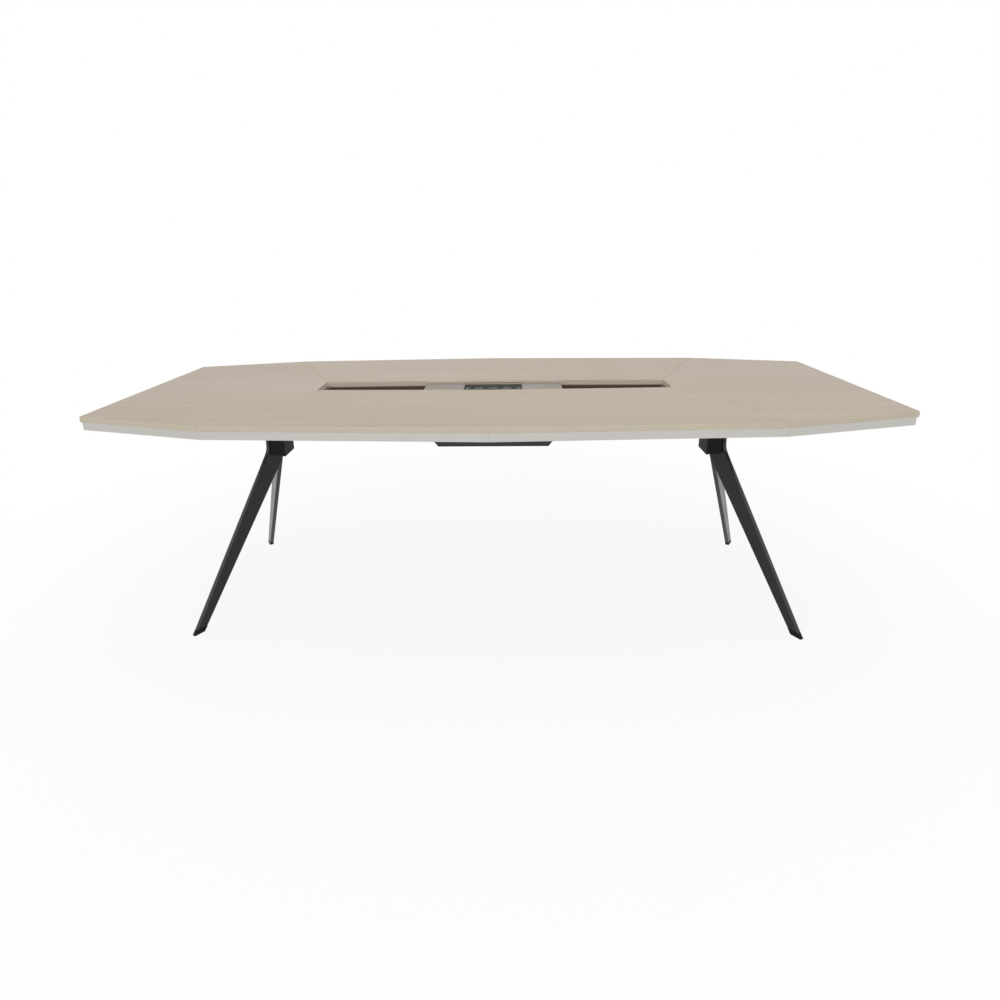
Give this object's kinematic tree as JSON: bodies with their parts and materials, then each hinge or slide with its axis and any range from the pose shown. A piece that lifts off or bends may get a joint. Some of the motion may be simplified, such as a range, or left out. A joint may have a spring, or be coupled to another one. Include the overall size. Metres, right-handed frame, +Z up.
{
  "type": "conference table",
  "caption": "Boat-shaped conference table with a pale oak top, aluminium edge trim, splayed black blade legs, a central cable well and a power unit with hinged flaps.",
  "frame": {"origin": "centre of the footprint on the floor: under the middle of the top, level with the undersides of the foot caps", "axes": "+X along the table's length to the viewer's right, +Y away from the viewer, +Z up"},
  "size_m": [2.4, 1.2, 0.76],
  "materials": {
    "oak_veneer": "matt lacquered pale oak",
    "well_lining": "dark brown lining board",
    "edge_trim": "polished extruded angle",
    "power_panel": "satin anodised",
    "hinge_pin": "ground steel",
    "black_steel": "black powder coat, semi-gloss",
    "black_plastic": "moulded, fine grain",
    "socket_plastic": "grey moulded"
  },
  "bodies": {
    "table": {"arm_back_left": "black_steel", "arm_back_right": "black_steel", "arm_front_left": "black_steel", "arm_front_right": "black_steel", "cable_tray": "black_steel", "cross_beam_left": "black_steel", "cross_beam_right": "black_steel", "flap_pin_left": "hinge_pin", "flap_pin_right": "hinge_pin", "foot_cap_back_left": "black_plastic", "foot_cap_back_right": "black_plastic", "foot_cap_front_left": "black_plastic", "foot_cap_front_right": "black_plastic", "leg_back_left": "black_steel", "leg_back_right": "black_steel", "leg_front_left": "black_steel", "leg_front_right": "black_steel", "leg_hub_left": "black_steel", "leg_hub_right": "black_steel", "leg_top_plate_left": "black_steel", "leg_top_plate_right": "black_steel", "power_frame": "power_panel", "rail_back": "black_steel", "rail_front": "black_steel", "rail_plug_back_left": "black_plastic", "rail_plug_back_right": "black_plastic", "rail_plug_front_left": "black_plastic", "rail_plug_front_right": "black_plastic", "seam_joiner_back_left": "black_steel", "seam_joiner_back_right": "black_steel", "seam_joiner_front_left": "black_steel", "seam_joiner_front_right": "black_steel", "socket_1": "socket_plastic", "socket_2": "socket_plastic", "socket_3": "socket_plastic", "socket_4": "socket_plastic", "socket_housing": "black_plastic", "top_board_back": "oak_veneer", "top_board_front": "oak_veneer", "top_board_left": "oak_veneer", "top_board_right": "oak_veneer", "trim_back_left": "edge_trim", "trim_back_left_taper": "edge_trim", "trim_back_right": "edge_trim", "trim_back_right_taper": "edge_trim", "trim_front_left": "edge_trim", "trim_front_left_taper": "edge_trim", "trim_front_right": "edge_trim", "trim_front_right_taper": "edge_trim", "trim_left_end": "edge_trim", "trim_right_end": "edge_trim", "well_floor_left": "well_lining", "well_floor_right": "well_lining", "well_wall_back": "well_lining", "well_wall_front": "well_lining", "well_wall_left": "well_lining", "well_wall_right": "well_lining"},
    "flap_left": {"flap_left": "power_panel"},
    "flap_right": {"flap_right": "power_panel"}
  },
  "joints": [
    {"name": "flap_left_hinge", "type": "hinge", "parent": "table", "child": "flap_left", "pos_m": [-0.1705, 0.07358, 0.748], "axis": [-1, 0, 0], "range_deg": [0, 100]},
    {"name": "flap_right_hinge", "type": "hinge", "parent": "table", "child": "flap_right", "pos_m": [0.1705, 0.07358, 0.748], "axis": [-1, 0, 0], "range_deg": [0, 100]}
  ]
}
